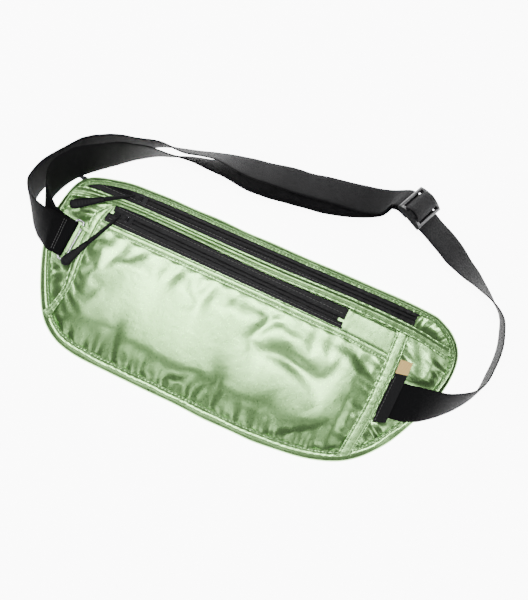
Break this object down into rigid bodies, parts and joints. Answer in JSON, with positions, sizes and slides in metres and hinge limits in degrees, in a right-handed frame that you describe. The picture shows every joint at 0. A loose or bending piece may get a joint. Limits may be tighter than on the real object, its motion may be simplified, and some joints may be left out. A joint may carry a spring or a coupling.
{
  "type": "money belt",
  "caption": "Flat zipped silk waist pouch with bound edge, cord zip pulls and an adjustable webbing strap through a wire ring.",
  "frame": {"origin": "middle of the pouch's back face, on the plane it rests on", "axes": "+X along the zips towards the labelled end, +Y towards the zipped edge, +Z out of the front of the pouch"},
  "size_m": [0.3287, 0.1999, 0.0269],
  "materials": {
    "silk": "mint green satin-weave silk, smooth, with soft sheen",
    "zip_tape": "charcoal woven zip tape with a smooth coated face",
    "zip_coil": "black nylon coil",
    "webbing": "black fine-ribbed webbing, matt",
    "slider_metal": "black enamelled die-cast metal",
    "steel": "bright steel wire",
    "adjuster_plastic": "black moulded acetal, satin, edges a little worn",
    "pull_cord": "black braided cord",
    "pull_grip": "black moulded soft grip, matt",
    "label_black": "black damask-woven label, plain",
    "label_tan": "tan grosgrain end of the label"
  },
  "bodies": {
    "pouch": {"back_panel": "silk", "edge_binding": "silk", "main_pocket_panel": "silk", "upper_zip_tape_top": "zip_tape", "upper_zip_tape_bottom": "zip_tape", "upper_zip_coils": "zip_coil", "upper_zip_closed_chain": "zip_coil", "upper_zip_stops": "slider_metal", "middle_band": "silk", "lower_zip_tape_top": "zip_tape", "lower_zip_tape_bottom": "zip_tape", "lower_zip_coils": "zip_coil", "lower_zip_closed_chain": "zip_coil", "lower_zip_stops": "slider_metal", "zip_end_patch": "silk", "front_pocket_panel": "silk", "left_trim": "silk", "right_trim": "silk", "ring_tab": "silk", "webbing_right_end": "webbing", "webbing_left_over": "webbing", "webbing_left_under": "webbing"},
    "ring": {"ring": "steel", "webbing_ring_fold": "webbing"},
    "strap": {"webbing_single": "webbing", "webbing_outer": "webbing", "webbing_inner": "webbing"},
    "adjuster": {"tri_glide": "adjuster_plastic", "webbing_bar_loop": "webbing", "webbing_bar_turn": "webbing", "webbing_inner_end": "webbing"},
    "upper_slider": {"upper_slider": "slider_metal", "upper_slider_pin": "steel"},
    "upper_tab": {"upper_pull_tab": "slider_metal"},
    "upper_pull": {"upper_pull_cord": "pull_cord", "upper_pull_grip": "pull_grip"},
    "lower_slider": {"lower_slider": "slider_metal", "lower_slider_pin": "steel"},
    "lower_tab": {"lower_pull_tab": "slider_metal"},
    "lower_pull": {"lower_pull_cord": "pull_cord", "lower_pull_grip": "pull_grip"},
    "label": {"woven_label": "label_black", "label_tip": "label_tan"}
  },
  "joints": [
    {"name": "upper_zip_slide", "type": "slide", "parent": "pouch", "child": "upper_slider", "axis": [0.9999, -0.0105, 0], "range_m": [0, 0.193]},
    {"name": "upper_tab_flip", "type": "hinge", "parent": "upper_slider", "child": "upper_tab", "pos_m": [-0.093, 0.0555, 0.0065], "axis": [0.0105, 0.9999, 0], "range_deg": [0, 95]},
    {"name": "upper_pull_lift", "type": "hinge", "parent": "upper_tab", "child": "upper_pull", "pos_m": [-0.09926, 0.0549, 0.0065], "axis": [-0.524, 0.8517, 0], "range_deg": [0, 40]},
    {"name": "lower_zip_slide", "type": "slide", "parent": "pouch", "child": "lower_slider", "axis": [0.9993, -0.0384, 0], "range_m": [0, 0.146]},
    {"name": "lower_tab_flip", "type": "hinge", "parent": "lower_slider", "child": "lower_tab", "pos_m": [-0.096, 0.0395, 0.00905], "axis": [0.0384, 0.9993, 0], "range_deg": [0, 95]},
    {"name": "lower_pull_lift", "type": "hinge", "parent": "lower_tab", "child": "lower_pull", "pos_m": [-0.10176, 0.03858, 0.00905], "axis": [-0.8926, 0.4509, 0], "range_deg": [0, 40]},
    {"name": "ring_turn", "type": "hinge", "parent": "pouch", "child": "ring", "pos_m": [-0.1226, 0.0122, 0.0076], "axis": [0.1045, 0.9945, 0], "range_deg": [0, 12]},
    {"name": "strap_swing", "type": "hinge", "parent": "pouch", "child": "strap", "pos_m": [-0.0063, -0.00235, 0.0048], "axis": [0.9988, -0.049, 0.0043], "range_deg": [0, 65]},
    {"name": "adjuster_slide", "type": "slide", "parent": "strap", "child": "adjuster", "axis": [0.891, -0.454, 0], "range_m": [0, 0.024]},
    {"name": "label_flap", "type": "hinge", "parent": "pouch", "child": "label", "pos_m": [0.1056, 0.00215, 0.00805], "axis": [-0.0353, -0.9994, 0], "range_deg": [0, 100]}
  ]
}
